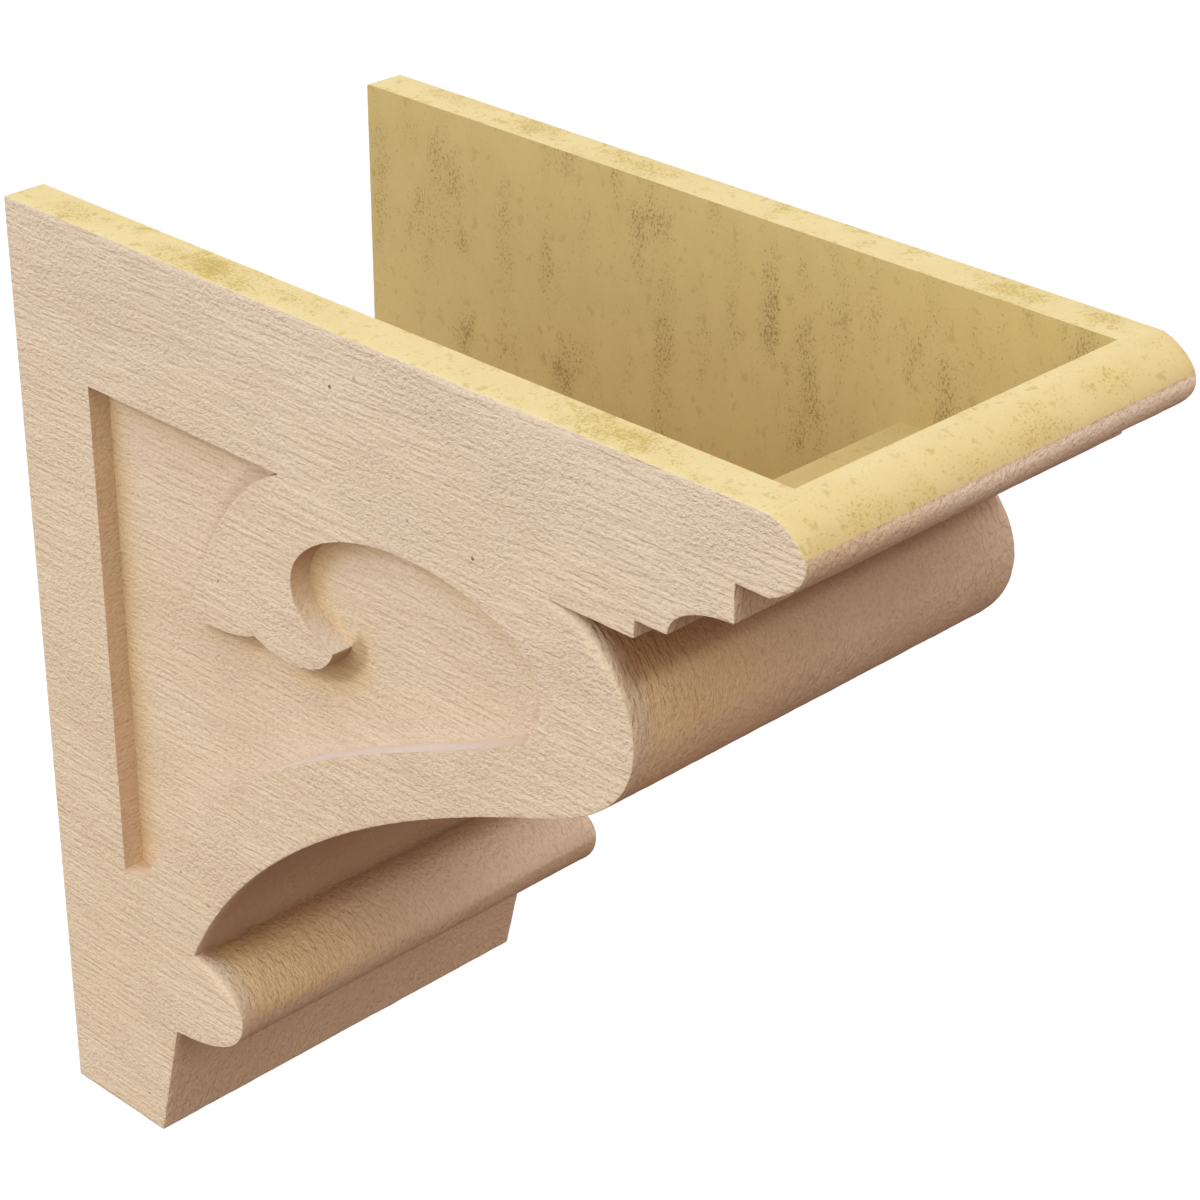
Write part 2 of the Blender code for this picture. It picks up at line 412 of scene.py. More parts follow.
rows = np.arange(N)
turn = math.radians(45)
inset = body + (body_in.T * body_stretch * EDGE).T
side_fill = inner_points(inset, [panel], *SIDE_STEP, 0.95)
side_tris = triangulate([inset, panel], side_fill)
floor_fill = inner_points(panel[::-1], [], *SIDE_STEP, 0.95)
floor_tris = triangulate([panel], floor_fill)

# the hollow's own profile, from the rim down and back to the wall
toe_dir = np.array(TOE_TOP) - np.array(TOE)
toe_in = np.array([-toe_dir[1], toe_dir[0]]) / np.hypot(*toe_dir) * WALL
toe_low, toe_high = np.array(TOE) + toe_in, np.array(TOE_TOP) + toe_in
toe_foot = toe_low + (toe_high - toe_low) * (WALL - toe_low[1]) / (toe_high - toe_low)[1]
s_line = bezier(BEAD_TOP, (124.8, 175.9), (210.4, 223.6), S_END, 60)
tangent = np.gradient(s_line, axis=0)
tangent /= np.hypot(*tangent.T)[:, None]
s_in = s_line + WALL * np.stack([-tangent[:, 1], tangent[:, 0]], -1)
s_in = s_in[s_in[:, 0] < ROLL_INNER - 1]
low = s_in[-1] + (s_in[-1] - s_in[-2]) / (s_in[-1] - s_in[-2])[0] * (ROLL_INNER - s_in[-1, 0])
hollow_line = np.vstack([
    [(RIM_INNER, HEIGHT), (RIM_INNER, HEIGHT - RIM_DEPTH), (LEDGE_FRONT, LEDGE_HEIGHT),
     (LEDGE_BACK, LEDGE_HEIGHT), (ROLL_INNER, LEDGE_HEIGHT - (LEDGE_BACK - ROLL_INNER)),
     low], s_in[::-1], [toe_high, toe_foot, (0.0, WALL)]])
parts, at = [], 0
breaks = [0, 1, 2, 3, 4, 5, 5 + len(s_in), 6 + len(s_in), 7 + len(s_in), 8 + len(s_in)]
for a, b in zip(breaks, breaks[1:]):
    parts.append(resample(hollow_line[a:b + 1], 4.2)[:-1])
hollow = np.vstack([*parts, hollow_line[-1:]])
rim_row = next(i for i in range(N) if body_name[i] == "top")
rail_row = next(i for i in range(N) if body_name[i] == "back_rail")
K = len(hollow)
cave = np.full((K, len(middle_x)), -1, int)
cave[0] = grid[rim_row, first_mid:last_mid + 1]
cave[-1] = grid[rail_row, first_mid:last_mid + 1]
for k in range(1, K - 1):
    for j, x in enumerate(middle_x):
        cave[k, j] = len(verts)
        verts.append((x, hollow[k, 0], hollow[k, 1]))
        home.append((-1, 0.0, 0.0))
for k in range(K - 1):
    for j in range(len(middle_x) - 1):
        faces.append(((cave[k, j], cave[k + 1, j], cave[k + 1, j + 1], cave[k, j + 1]),
                      RAW, CAVITY))
mouth = list(range(rim_row, rail_row + 1))
inner_loop = np.vstack([body[mouth], hollow[::-1][1:-1]])
inner_fill = inner_points(inner_loop, [], 4.4, 5.0, 2.2)
inner_tris = triangulate([inner_loop], inner_fill)

side_ids = {}
for sign, end in ((1, 0), (-1, len(columns) - 1)):
    ring1 = add(sign * (HALF - EDGE * (1 - math.cos(turn))),
                body + (body_in.T * body_stretch * EDGE * (1 - math.sin(turn))).T,
                rows, EDGE * (1 - math.sin(turn)), EDGE * (1 - math.cos(turn)))
    ring0 = add(sign * HALF, inset, rows, EDGE, 0.0)
    band(grid[:, end], ring1, front_mat, FRONT)
    band(ring1, ring0, TAN, SIDE)
    # the panel's wall and floor
    last = top = add(sign * HALF, panel)
    for d in (2.4, 4.8, 7.2, PANEL_DEPTH):
        ring = add(sign * (HALF - d), panel)
        band(last, ring, TAN, WALLS)
        last = ring
    fill = add(sign * HALF, side_fill)
    ids = np.concatenate([ring0, top, fill])
    side_ids[sign] = fill
    for t in side_tris:
        faces.append((tuple(ids[t]), TAN, SIDE))
    fill = add(sign * (HALF - PANEL_DEPTH), floor_fill)
    ids = np.concatenate([last, fill])
    for t in floor_tris:
        faces.append((tuple(ids[t]), TAN, SIDE))
    # the side plate's inner face
    col = first_mid if sign > 0 else last_mid
    cave_col = 0 if sign > 0 else len(middle_x) - 1
    fill = add(sign * INNER, inner_fill)
    ids = np.concatenate([grid[mouth, col], cave[::-1, cave_col][1:-1], fill])
    for t in inner_tris:
        faces.append((tuple(ids[t]), RAW, CAVITY))

P = np.array(verts, float)
where = np.array([h[0] for h in home])
depth_in = np.array([h[1] for h in home])
from_end = np.array([h[2] for h in home])

# side faces near a worn edge take the nearest point of the outline as theirs
worn = np.nonzero(R_SOFT > EDGE + 0.05)[0]
kd = tree(body[worn])
push = np.zeros((len(P), 2))
for sign in (1, -1):
    for v in side_ids[sign]:
        _, k, dist = kd.find((P[v, 1], P[v, 2], 0.0))
        i = worn[k]
        if dist < R_SOFT[i]:
            where[v], depth_in[v] = i, dist
            push[v] = (P[v, 1:] - body[i]) / max(dist, 1e-6)
has = where >= 0
row_of = np.where(has, where, 0)
radius = R_SOFT[row_of]
t = from_end - depth_in
round_it = has & (np.abs(t) < radius) & (radius > EDGE + 0.05)
phi = 0.25 * math.pi * (1 + t / radius)
new_a, new_b = radius * (1 - np.sin(phi)), radius * (1 - np.cos(phi))
direction = np.where(np.abs(push).sum(1)[:, None] > 0, push, body_in[row_of])
moved = body[row_of] + direction * new_a[:, None]
P[round_it, 1:] = moved[round_it]
P[round_it, 0] = (np.sign(P[:, 0]) * (HALF - new_b))[round_it]

# --- the mesh itself, in the row's frame -------------------------------------

co = np.stack([P[:, 0], -P[:, 1], P[:, 2] - 0.5 * WALL], -1) * MM
mesh = bpy.data.meshes.new("corbel_skin")
mesh.from_pydata(co.tolist(), [], [list(map(int, fc[0])) for fc in faces])
mesh.polygons.foreach_set("material_index", np.array([fc[1] for fc in faces], np.int32))
kind_attr = mesh.attributes.new("kind", "INT", "FACE")
kind_attr.data.foreach_set("value", np.array([fc[2] for fc in faces], np.int32))
bm = bmesh.new()
bm.from_mesh(mesh)
bmesh.ops.recalc_face_normals(bm, faces=bm.faces)
if bm.calc_volume(signed=True) < 0:
    bmesh.ops.reverse_faces(bm, faces=bm.faces)
open_edges = sum(1 for e in bm.edges if len(e.link_faces) != 2)
bm.to_mesh(mesh)
bm.free()

normal = np.zeros(len(co) * 3, np.float32)
mesh.vertices.foreach_get("normal", normal)
normal = normal.reshape(-1, 3).astype(float)

# which kind of surface each vertex is on
on_side = np.abs(normal[:, 0]) ** 1.5
kinds = np.array([fc[2] for fc in faces])
mats = np.array([fc[1] for fc in faces])
is_raw = np.zeros(len(co), bool)
is_skin = np.zeros(len(co), bool)
for fc in faces:
    (is_skin if fc[1] in (TAN, MOULDED) else is_raw)[list(fc[0])] = True
sign = np.sign(P[:, 0])
u, z, x = P[:, 1], P[:, 2], P[:, 0]
run = np.where(has, body_run[row_of], 0.0)
side_h = np.where(sign < 0, grain(u, z, 10), grain(u + 900, z, 10))
front_h = grain(run, x, 40)
height = on_side * side_h + (1 - on_side) * 0.8 * front_h
foam_h = 0.035 * noise(u / 3.1, z / 3.1, 71) + 0.03 * noise(x / 3.0, u / 9.0, 72)
height = np.where(is_skin & ~is_raw, height, foam_h)
height = np.where(is_skin & is_raw, 0.5 * foam_h, height)
# the tight crevice over the roll keeps its faces apart
gap = np.hypot(u - ROLL_TOP[0], z - ROLL_TOP[1])
height *= step_between(gap, 2.5, 14.0)
height = np.where(np.abs(x) < INNER - 0.1, np.where(is_skin, height, foam_h * 0.8), height)
co += normal * height[:, None] * MM
mesh.vertices.foreach_set("co", co.astype(np.float32).ravel())
relief = mesh.attributes.new("relief", "FLOAT", "POINT")
relief.data.foreach_set("value", np.clip(height / 0.2, -1, 1).astype(np.float32))

# where the raw foam is stained: patches on the cut faces, and groups that run
# down the inside of the side plates
stain = np.zeros(len(co))
cut_top = ~is_skin & (z > CUT_LINE - 6) & ((np.abs(x) > INNER - 1) | (u > RIM_INNER - 1))
cloud = noise(u / 11, x / 7, 81) + 0.6 * noise(u / 4.5, x / 4.0, 82)
stain = np.where(cut_top, 0.5 * step_between(cloud, 0.35, 1.2), stain)
for su, sx, long, wide, deep in STAINS:
    near = 1 - np.hypot((u - su) / long, (x - sx) / wide)
    stain = np.where(cut_top, np.maximum(stain, deep * step_between(
        near + 0.35 * noise(u / 4.5, x / 4.0, 83), 0.0, 0.9)), stain)
sideways = np.where(np.abs(normal[:, 0]) > 0.5, u, x + 500.0)
groups = 0.85 * noise(sideways / 8.5 + 0.5 * noise(z / 24, sideways / 30, 91), z / 52, 92) \
    + 0.7 * noise(sideways / 4.2, z / 13, 93) + 0.35 * noise(sideways / 37, z / 60, 94)
groups = 0.75 * step_between(groups, 0.0, 1.5)
for ru, rz, wide, tall, deep in RUNS:
    near = 1 - np.hypot((u - ru) / wide, (z - rz) / tall)
    groups = np.maximum(groups, deep * step_between(
        near + 0.36 * noise(u / 3.0, z / 9, 95), 0.0, 0.95) * (np.abs(normal[:, 0]) > 0.5))

# how much painted shade each row of the front mouldings takes: in their crevices and under the nose, where shade
# falls
deep = np.zeros(N)
count = {b: [k for k, n in enumerate(body_name) if n.split("/")[0] == b]
         for b in set(n.split("/")[0] for n in body_name)}
PAINTED_SHADE = {"toe": ((0.0, 0.1), (0.6, 0.1), (1.0, 0.55)),
            "bead_under": ((0.0, 0.6), (0.55, 0.34), (0.81, 0.28), (1.0, 0.12)),
            "bead_over": ((0.0, 0.1), (0.5, 0.0), (0.65, 0.08), (0.81, 0.48), (1.0, 0.9)),
            "s_curve": ((0.0, 0.6), (0.05, 0.5), (0.4, 0.55), (0.75, 0.64), (1.0, 0.42)),
            "roll_under": ((0.0, 0.42), (0.5, 0.25), (1.0, 0.05)),
            "roll_over": ((0.0, 0.02), (0.27, 0.12), (0.32, 0.26), (0.39, 0.84), (0.46, 1.0), (1.0, 1.0)),
            "soffit": ((0.0, 0.8), (1.0, 0.6)), "step": ((0.0, 0.3), (1.0, 0.4)),
            "fillet": ((0.0, 0.6), (1.0, 0.4)), "cove": ((0.0, 0.45), (1.0, 0.55)),
            "cove_wall": ((0.0, 0.3), (1.0, 0.4)),
            "nose_floor": ((0.0, 0.6), (1.0, 0.4)), "nose_under": ((0.0, 0.4), (0.5, 0.0))}
for base, shape in PAINTED_SHADE.items():
    ids = count[base]
    for i in ids:
        deep[i] = np.interp((i - ids[0]) / (len(ids) - 1), *zip(*shape))
# and how much painted light each takes towards the far end and over the nose, and from where
far_light = np.zeros(N)
far_light_from, far_light_to = np.zeros(N), np.full(N, 100.0)
for base, start, end, shape in (
        ("bead_over", -30, 80, ((0.0, 0.75), (0.6, 0.6), (0.8, 0.0))),
        ("roll_under", 50, 101, ((0.6, 0.0), (1.0, 0.2))),
        ("roll_over", 66, 101, ((0.0, 0.2), (0.3, 0.35), (0.6, 0.6), (1.0, 0.4))),
        ("nose_under", -110, 0, ((0.0, 0.0), (0.6, 0.3), (1.0, 0.7))),
        ("nose_over", -110, 0, ((0.0, 1.0), (1.0, 1.0)))):
    ids = count[base]
    for i in ids:
        far_light[i] = np.interp((i - ids[0]) / (len(ids) - 1), *zip(*shape))
    far_light_from[ids], far_light_to[ids] = start, end
# painted warm light on the mouldings towards the near end
near_warm_light = np.zeros(N)
for base, much in (("bead_over", 1.0), ("roll_over", 1.0), ("roll_under", 0.55),
                   ("nose_over", 0.3)):
    near_warm_light[count[base]] = much
# painted light: the mouldings paler towards the far end, and the nose's front paler
far_end_light = far_light[row_of] * step_between(x, far_light_from[row_of], far_light_to[row_of])
# painted shade on the mouldings, fading in from their ends
painted_shade = np.where(has, deep[row_of], 0.0) * step_between(from_end, 0.0, 6.0)
painted_shade = np.where(is_skin, painted_shade, 0.0)

# where the grain runs: (along it, across it) for every face corner, in metres
loops = np.empty(len(mesh.loops), np.int32)
mesh.loops.foreach_get("vertex_index", loops)
totals = np.empty(len(mesh.polygons), np.int32)
mesh.polygons.foreach_get("loop_total", totals)
kinds_now = np.empty(len(mesh.polygons), np.int32)
mesh.attributes["kind"].data.foreach_get("value", kinds_now)
corner_kind = np.repeat(kinds_now, totals)
g = np.zeros((len(loops), 3), np.float32)
lu, lz, lx, lr = u[loops], z[loops], x[loops], run[loops]
m = corner_kind == SIDE
g[m] = np.stack([lu, lz, np.where(lx < 0, 0.0, 700.0)], -1)[m]
m = corner_kind == FRONT
g[m] = np.stack([lr, lx, np.full(len(lx), 300.0)], -1)[m]
m = corner_kind == WALLS
g[m] = np.stack([np.abs(lx) + 0.6 * lu + 0.5 * lz, lz - 0.35 * lu, lu * 0.3], -1)[m]
m = corner_kind == CAVITY
g[m] = np.stack([lz, lu, lx], -1)[m]
# the seam where the outline's run starts again
faces_at = np.concatenate([[0], np.cumsum(totals)])
for p in np.nonzero(kinds_now == FRONT)[0]:
    a, b = faces_at[p], faces_at[p + 1]
    if g[a:b, 0].max() - g[a:b, 0].min() > 100:
        g[a:b, 0][g[a:b, 0] < 50] += body_run[-1] + 2.0
# each piece of the panel's outline: how much painted shade and how much painted light its wall takes from start to
# end, how dark the painted shadow is on the floor's edge under it, and how much painted warm bounce light the floor
# beside it takes
even = lambda v: ((0.0, v), (1.0, v))
wall_shade, wall_light, under, glow = (np.zeros(M) for _ in range(4))
for base, dark, bright, line, soft in (
        ("left", even(0.15), even(0.0), 0.0, 0.6),
        ("top", even(0.4), even(0.0), 0.5, 0.6),
        ("leaf", ((0.0, 1.0), (0.15, 0.5), (1.0, 0.3)), even(0.0), 0.25, 0.3),
        ("leaf_foot", even(0.4), even(0.0), 0.55, 0.6),
        ("lobe", ((0.0, 0.4), (0.6, 0.4), (0.8, 0.8), (1.0, 0.8)), even(0.0), 0.6, 0.8),
        ("hook", even(0.0), ((0.0, 0.6), (0.5, 0.5), (1.0, 0.2)), 0.0, 0.5),
        ("eye_back", ((0.0, 0.1), (0.15, 0.35), (0.35, 0.8), (1.0, 1.0)),
         ((0.0, 0.2), (0.2, 0.0), (1.0, 0.0)), 0.2, 0.9),
        ("eye_front", even(0.5), even(0.0), 0.6, 0.8),
        ("eye_corner", even(0.3), even(0.0), 0.2, 0.3),
        ("border", even(0.0), ((0.0, 0.1), (0.04, 0.25), (0.12, 0.55), (0.45, 0.6),
                               (0.8, 0.25), (1.0, 0.2)), 0.0, 0.0),
        ("foot", even(0.0), even(0.2), 0.0, 0.0)):
    ids = [k for k, n in enumerate(panel_name) if n.split("/")[0] == base]
    steps = np.linspace(0, 1, len(ids))
    wall_shade[ids] = np.interp(steps, *zip(*dark))
    wall_light[ids] = np.interp(steps, *zip(*bright))
    under[ids], glow[ids] = line, soft
border = [k for k, n in enumerate(panel_name) if n.split("/")[0] in ("border", "foot")]
on_border = np.zeros(M, bool)
on_border[border] = True
near_row, near_far = np.zeros(len(P), int), np.full(len(P), 1e3)
kd = tree(panel)
for v in np.nonzero((np.abs(P[:, 0]) > HALF - PANEL_DEPTH - 0.01) & ~has)[0]:
    _, near_row[v], near_far[v] = kd.find((P[v, 1], P[v, 2], 0.0))
on_floor = np.abs(np.abs(P[:, 0]) - (HALF - PANEL_DEPTH)) < 0.01
foot_wall = on_border[near_row]
# painted light on the walls that face up, less towards the foot's end
wall_light_of = wall_light[near_row] * np.where(
    foot_wall, 0.35 + 0.65 * step_between(np.abs(x), 92.4, 97.0), 1.0)
# painted shade on the walls that are in shade
wall_shade_of = wall_shade[near_row]
# painted shadow on the floor along the edge under the walls, softer by the foot
floor_shadow = np.where(foot_wall, 0.16 * step_between(near_far, 14.0, 0.0),
                      under[near_row] * step_between(near_far, 10.0, 6.8)) * on_floor
# the floor by the foot's wall painted paler to cancel the warm bounce light from that wall
floor_bounce_cancel = 0.13 * foot_wall * step_between(near_far, 16.0, 0.0) * on_floor
# painted warm bounce light on the floor beside the walls
reach = np.where(under[near_row] > 0.4, 20.0, 12.0)
floor_warm_light = glow[near_row] * step_between(near_far, reach, reach - 12.0) * on_floor
in_cave, in_wall = corner_kind == CAVITY, corner_kind == WALLS
# the tint: x is painted shade on the skin, and on the cavity's foam a darkening towards the top; y is painted light;
# z is painted light on the skin and stains on the foam
tint = np.zeros((len(loops), 3), np.float32)
tint[:, 0] = np.where(in_cave, 0.8 * step_between(z, 270, 404)[loops],
                      np.where(in_wall, wall_shade_of[loops], (painted_shade + floor_shadow)[loops]))
near_end = (x < 0) & (np.abs(normal[:, 0]) < 0.6)
# painted light: the near end of the mouldings warmer, the side paler towards the top, the up-facing walls and the
# floor by the foot paler
tint[:, 1] = np.where(in_wall, wall_light_of[loops], np.where(
    corner_kind == FRONT, (near_end * near_warm_light[row_of] * step_between(from_end, 110, 24)
                           * step_between(from_end, 3, 14))[loops],
    np.maximum(0.13 * step_between(z, 250, 400), floor_bounce_cancel)[loops]))
tint[:, 2] = np.where(in_cave, groups[loops], np.where(
    (corner_kind == FRONT) & is_skin[loops] & ~is_raw[loops], far_end_light[loops],
    np.where(corner_kind == SIDE, floor_warm_light[loops], stain[loops])))
tint_attr = mesh.attributes.new("tint", "FLOAT_VECTOR", "CORNER")
tint_attr.data.foreach_set("vector", tint.ravel())
grain_attr = mesh.attributes.new("grain", "FLOAT_VECTOR", "CORNER")
grain_attr.data.foreach_set("vector", (g * MM).ravel())
mesh.attributes.remove(mesh.attributes["kind"])

mesh.shade_smooth()
mesh.set_sharp_from_angle(angle=math.radians(38))
mesh.update()
skin = bpy.data.objects.new("corbel_skin", mesh)
bpy.context.scene.collection.objects.link(skin)
print("corbel_skin:", sum(len(p.vertices) - 2 for p in mesh.polygons), "triangles,",
      open_edges, "open edges")


# --- materials ---------------------------------------------------------------

def rgb(r, g, b):
    return (r, g, b, 1.0)


class Tree:
    """Short names for the nodes that the materials are made of."""

    def __init__(self, tree):
        self.t = tree

    def node(self, kind, **values):
        n = self.t.nodes.new(kind)
        for k, v in values.items():
            setattr(n, k, v)
        return n

    def put(self, socket, value):
        if hasattr(value, "is_output"):
            self.t.links.new(value, socket)
        else:
            socket.default_value = value

    def attribute(self, name, output):
        return self.node("ShaderNodeAttribute", attribute_name=name).outputs[output]

    def mapped(self, vector, scale, turn=0.0, move=(0, 0, 0)):
        n = self.node("ShaderNodeMapping")
        self.put(n.inputs["Vector"], vector)
        n.inputs["Scale"].default_value = scale
        n.inputs["Rotation"].default_value = (0, 0, math.radians(turn))
        n.inputs["Location"].default_value = move
        return n.outputs[0]

    def noise(self, vector, detail=2.0, rough=0.5, warp=0.0, dims="2D"):
        n = self.node("ShaderNodeTexNoise", noise_dimensions=dims)
        self.put(n.inputs["Vector"], vector)
        n.inputs["Scale"].default_value = 1.0
        n.inputs["Detail"].default_value = detail
        n.inputs["Roughness"].default_value = rough
        n.inputs["Distortion"].default_value = warp
        return n.outputs["Fac"]

    def math(self, op, a, b=0.0, clamp=False):
        n = self.node("ShaderNodeMath", operation=op, use_clamp=clamp)
        self.put(n.inputs[0], a)
        self.put(n.inputs[1], b)
        return n.outputs[0]

    def ramp(self, value, low, high, out_low=0.0, out_high=1.0, smooth=True):
        n = self.node("ShaderNodeMapRange")
        n.interpolation_type = "SMOOTHSTEP" if smooth else "LINEAR"
        self.put(n.inputs["Value"], value)
        for k, v in (("From Min", low), ("From Max", high), ("To Min", out_low),
                     ("To Max", out_high)):
            n.inputs[k].default_value = v
        return n.outputs["Result"]

    def mix(self, factor, a, b, mode="MIX"):
        n = self.node("ShaderNodeMix", data_type="RGBA", blend_type=mode)
        self.put(n.inputs[0], factor)
        self.put(n.inputs[6], a)
        self.put(n.inputs[7], b)
        return n.outputs[2]

    def blend(self, factor, a, b):
        n = self.node("ShaderNodeMix", data_type="FLOAT")
        self.put(n.inputs[0], factor)
        self.put(n.inputs[2], a)
        self.put(n.inputs[3], b)
        return n.outputs[0]

    def bump(self, height, distance, strength):
        n = self.node("ShaderNodeBump")
        self.put(n.inputs["Height"], height)
        n.inputs["Distance"].default_value = distance
        n.inputs["Strength"].default_value = strength
        return n.outputs[0]


def new_material(name):
    m = bpy.data.materials.new(name)
    m.use_nodes = True
    shader = m.node_tree.nodes["Principled BSDF"]
    shader.inputs["Specular IOR Level"].default_value = 0.18
    return m, Tree(m.node_tree), shader


def tan_skin(name, front):
    """Primed skin. Its grain runs along the first grain coordinate; over the mouldings of the front it is coarser and
    swings round in places. Its grain's valleys are painted darker, as painted shade. The tint paints shade into it:
    in the crevices of the mouldings and under the nose, on the panel's walls that are in shade and along the floor's
    edge under them. It paints light into it: warm light on the mouldings at the near end, a pale highlight on them
    towards the far end and over the nose, the side paler towards the top, the panel's walls paler where they face up,
    warm bounce light on the panel's floor beside its walls, and the floor by the foot paler to cancel the bounce
    light from its wall."""
    m, t, shader = new_material(name)
    way = t.attribute("grain", "Vector")
    tint = t.node("ShaderNodeSeparateXYZ")
    t.put(tint.inputs[0], t.attribute("tint", "Vector"))
    painted_dark, painted_light = tint.outputs[0], tint.outputs[1]
    if front:
        lines = t.noise(t.mapped(way, (115, 330, 1), -14), 2.0, 0.62)
        grit = t.noise(t.mapped(way, (430, 480, 1), 20), 3.0, 0.68)
        patch = t.ramp(t.noise(t.mapped(way, (26, 15, 1)), 1.0, 0.5), 0.40, 0.62)
        line_part, grit_part = (0.60, 0.22), (0.95, 1.35)
        depth, strength, groove_shade = 0.00104, 0.9, 0.32
        base, light = rgb(0.758, 0.548, 0.380), rgb(0.778, 0.575, 0.406)
    else:
        lines = t.noise(t.mapped(way, (42, 400, 1)), 1.0, 0.5)
        grit = t.noise(t.mapped(way, (470, 640, 1), -14), 2.0, 0.70)
        patch = t.ramp(t.noise(t.mapped(way, (20, 30, 1)), 1.0, 0.5), 0.40, 0.64)
        line_part, grit_part = (0.34, 0.20), (0.90, 1.38)
        depth, strength, groove_shade = 0.00082, 0.9, 0.34
        base, light = rgb(0.800, 0.570, 0.380), rgb(0.822, 0.598, 0.408)
    height = t.math("ADD",
                    t.math("MULTIPLY", t.ramp(lines, 0.36, 0.62),
                           t.ramp(patch, 0, 1, *line_part, smooth=False)),
                    t.math("MULTIPLY", grit,
                           t.ramp(patch, 0, 1, *grit_part, smooth=False)))
    bump = t.bump(height, depth, strength)
    t.put(shader.inputs["Normal"], bump)
    tone = t.noise(t.mapped(way, (15, 26, 1)), 1.0, 0.5)
    colour = t.mix(t.ramp(tone, 0.3, 0.7), base, light)
    # painted shade in the grain's valleys: where the grit and the relief are low, the colour turns dark brown
    colour = t.mix(t.ramp(grit, 0.30, 0.52, groove_shade, 0.0), colour, rgb(0.52, 0.34, 0.21))
    colour = t.mix(t.ramp(t.attribute("relief", "Fac"), -0.9, 0.0, 0.12, 0.0),
                   colour, rgb(0.52, 0.34, 0.21))
    if front:
        # painted shade in the crevices and under the nose, painted warm light at the near end, painted light paler
        # towards the far end and over the nose
        colour = t.mix(painted_dark, colour, t.mix(1.0, colour, rgb(0.50, 0.38, 0.31), "MULTIPLY"))
        colour = t.mix(painted_light, colour, t.mix(1.0, colour, rgb(1.08, 1.01, 0.83), "MULTIPLY"))
        colour = t.mix(tint.outputs[2], colour,
                       t.mix(1.0, colour, rgb(1.30, 1.44, 1.60), "MULTIPLY"))
    else:
        # painted shade on the walls and along the floor's edge, painted warm bounce light on the floor beside the
        # walls, painted light paler on the side's top, the up-facing walls and the floor by the foot
        colour = t.mix(painted_dark, colour, t.mix(1.0, colour, rgb(0.52, 0.43, 0.39), "MULTIPLY"))
        colour = t.mix(tint.outputs[2], colour,
                       t.mix(1.0, colour, rgb(0.98, 0.94, 0.79), "MULTIPLY"))
        colour = t.mix(painted_light, colour, rgb(0.87, 0.72, 0.65))
        spots = None
        # painted shade of the pits: dark spots in the colour, with no hole in the mesh
        for at in PITS:
            far = t.node("ShaderNodeVectorMath", operation="DISTANCE")
            t.put(far.inputs[0], way)
            far.inputs[1].default_value = (at[0] * MM, at[1] * MM, 0.0)
            spot = t.ramp(far.outputs["Value"], at[2] * MM, 0.55 * at[2] * MM)
            spots = spot if spots is None else t.math("MAXIMUM", spots, spot)
        pits = t.node("ShaderNodeTexVoronoi", feature="F1", voronoi_dimensions="2D")
        t.put(pits.inputs["Vector"], t.mapped(way, (40, 52, 1)))
        pits.inputs["Scale"].default_value = 1.0
        chance = t.node("ShaderNodeSeparateColor")
        t.put(chance.inputs[0], pits.outputs["Color"])
        pit_shade = t.math("MULTIPLY", t.ramp(pits.outputs["Distance"], 0.045, 0.02),
                     t.ramp(chance.outputs[0], 0.93, 0.94, smooth=False))
        pit_shade = t.math("MAXIMUM", t.math("MULTIPLY", pit_shade, 0.55), spots)
        colour = t.mix(t.math("MULTIPLY", pit_shade, 0.8), colour, rgb(0.11, 0.06, 0.03))
    t.put(shader.inputs["Base Color"], colour)
    t.put(shader.inputs["Roughness"], t.ramp(grit, 0.3, 0.7, 0.74, 0.9))
    return m


def foam(name, light, dark, speck, grain_size, stain, dot):
    """Raw foam: an even yellow with olive-brown specks where it is stained."""
    m, t, shader = new_material(name)
    here = t.node("ShaderNodeTexCoord").outputs["Object"]
    tint = t.node("ShaderNodeSeparateXYZ")
    t.put(tint.inputs[0], t.attribute("tint", "Vector"))
    painted_dark, stained = tint.outputs[0], tint.outputs[2]
    fine = t.noise(t.mapped(here, grain_size), 3.0, 0.72, 0.0, "3D")
    dots = t.ramp(t.math("ADD", fine, t.math("MULTIPLY", stained, 0.20)), *dot)
    tone = t.noise(t.mapped(here, (60, 60, 40)), 2.0, 0.6, 0.0, "3D")
    colour = t.mix(t.ramp(tone, 0.3, 0.7), rgb(*dark), rgb(*light))
    cloud = t.math("MULTIPLY", t.ramp(tone, 0.35, 0.65, 0.4, 1.0), stained)
    blots = t.noise(t.mapped(here, tuple(0.2 * k for k in grain_size)), 2.0, 0.65, 0.0, "3D")
    cloud = t.math("ADD", cloud, t.ramp(blots, 0.58, 0.70, 0.0, 1.0))
    colour = t.mix(t.math("MULTIPLY", cloud, stain), colour, rgb(*speck))
    colour = t.mix(t.math("MULTIPLY", dots, 0.62), colour, rgb(*speck))
    # the cavity's foam painted darker towards the top
    colour = t.mix(painted_dark, colour, t.mix(1.0, colour, rgb(0.82, 0.82, 0.84), "MULTIPLY"))
    t.put(shader.inputs["Base Color"], colour)
    t.put(shader.inputs["Normal"], t.bump(fine, 0.0004, 0.3))
    t.put(shader.inputs["Roughness"], t.ramp(tone, 0.3, 0.7, 0.72, 0.84))
    return m


mesh.materials.append(tan_skin("tan_side", False))
mesh.materials.append(foam("foam_cut", (0.776, 0.612, 0.296), (0.765, 0.594, 0.274),
                           (0.48, 0.32, 0.045), (850, 850, 850), 0.38, (0.60, 0.72)))
mesh.materials.append(foam("foam_inside", (0.732, 0.520, 0.206), (0.706, 0.498, 0.192),
                           (0.29, 0.155, 0.04), (900, 900, 700), 0.20, (0.61, 0.75)))
mesh.materials.append(tan_skin("tan_front", True))

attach(skin, "root")
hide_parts("corbel")


# --- floor, studio light and camera ------------------------------------------

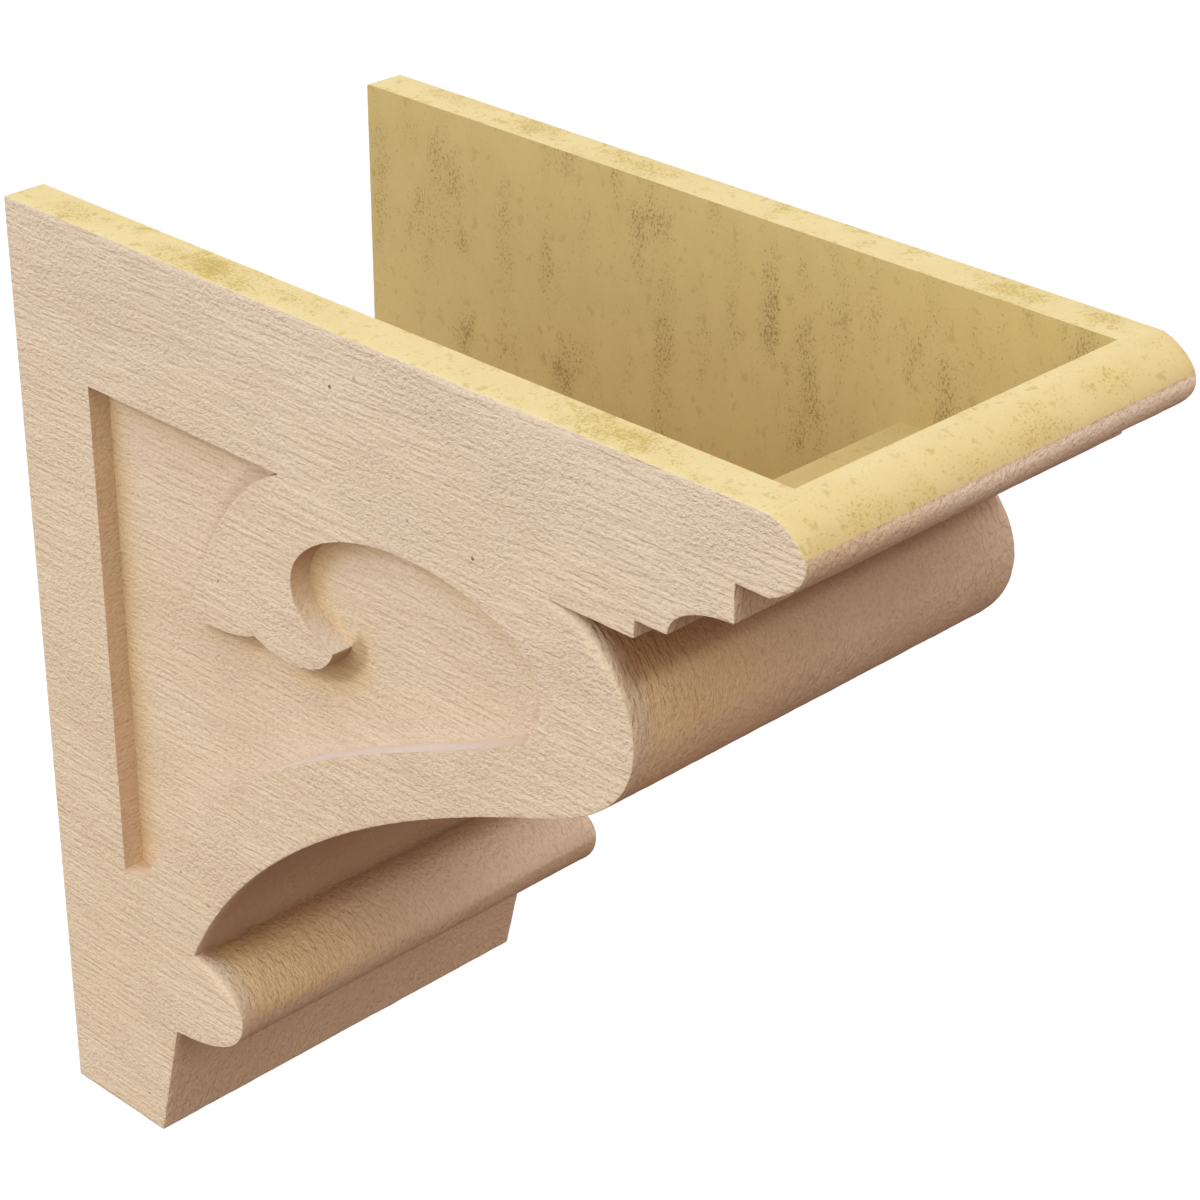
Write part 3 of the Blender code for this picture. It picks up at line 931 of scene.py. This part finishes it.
floor_paint = bpy.data.materials.new("pale_floor")
floor_paint.use_nodes = True
paint = floor_paint.node_tree.nodes["Principled BSDF"]
paint.inputs["Base Color"].default_value = rgb(0.94, 0.94, 0.94)
paint.inputs["Roughness"].default_value = 0.9
bpy.ops.mesh.primitive_plane_add(size=80, location=(0, 0, -1.0))
ground = bpy.context.object
ground.name = "floor"
ground.data.materials.append(floor_paint)
ground.visible_diffuse = False
ground.visible_glossy = False
ground.visible_shadow = False

# a soft sky of a few broad lights, dim below the horizon
world = bpy.data.worlds.new("studio")
bpy.context.scene.world = world
world.use_nodes = True
wt = Tree(world.node_tree)
sky = world.node_tree.nodes["Background"]
way_out = wt.node("ShaderNodeTexCoord").outputs["Generated"]
split = wt.node("ShaderNodeSeparateXYZ")
wt.put(split.inputs[0], way_out)
above = wt.ramp(split.outputs[2], -0.25, 0.05, smooth=False)
light = wt.mix(above, rgb(0.222, 0.125, 0.100), rgb(0, 0, 0))
for towards, colour in (
        ((-1, 0, 0), (1.40, 1.27, 1.00)),
        ((0, 0, 1), (0.04, 0.00, 0.10)),
        ((1, 0, 0.9), (0.42, 0.38, 0.38)),
        ((1, 0, 0.3), (0.50, 0.50, 0.56)),
        ((0, -1, 1), (0.33, 0.37, 0.23)),
        ((-1, 0, 1), (0.69, 0.95, 1.00)),
        ((-1, 1, 0.3), (0.47, 0.67, 0.84)),
        ((1, -1, 1), (0.57, 0.36, 0.38)),
        ((1, 1, 0.5), (0.30, 0.30, 0.32))):
    facing = wt.node("ShaderNodeVectorMath", operation="DOT_PRODUCT")
    wt.put(facing.inputs[0], way_out)
    facing.inputs[1].default_value = Vector(towards).normalized()
    lobe = wt.math("MAXIMUM", facing.outputs["Value"], 0.0)
    lobe = wt.math("MULTIPLY", wt.math("MULTIPLY", lobe, lobe), above)
    light = wt.mix(1.0, light, wt.mix(lobe, rgb(0, 0, 0), rgb(*colour)), "ADD")
wt.put(sky.inputs["Color"], light)

key = bpy.data.lights.new("window", "SUN")
key.energy, key.angle, key.color = 0.46, math.radians(20), (0.10, 0.20, 1.0)
window = bpy.data.objects.new("window", key)
window.rotation_euler = Vector((-1.0, 1.1, 0.62)).to_track_quat("Z", "Y").to_euler()
bpy.context.scene.collection.objects.link(window)

lens = bpy.data.cameras.new("camera")
lens.sensor_width = 36.0
lens.lens = 3279.93 / 1200 * 36.0
lens.clip_end = 200.0
camera = bpy.data.objects.new("camera", lens)
bpy.context.scene.collection.objects.link(camera)
place = Vector((-1.918509, -2.426857, 2.081118)) * 0.4064 + Vector((0, 0, -0.0092))
right = Vector((0.7023097, -0.7118701, 0.0014340))
down = Vector((-0.3279889, -0.3253704, -0.8868807))
ahead = Vector((0.6318104, 0.6223946, -0.4619963))
camera.matrix_world = Matrix(((right.x, -down.x, -ahead.x, place.x),
                              (right.y, -down.y, -ahead.y, place.y),
                              (right.z, -down.z, -ahead.z, place.z),
                              (0, 0, 0, 1)))
bpy.context.scene.camera = camera
bpy.context.scene.view_settings.view_transform = "Standard"
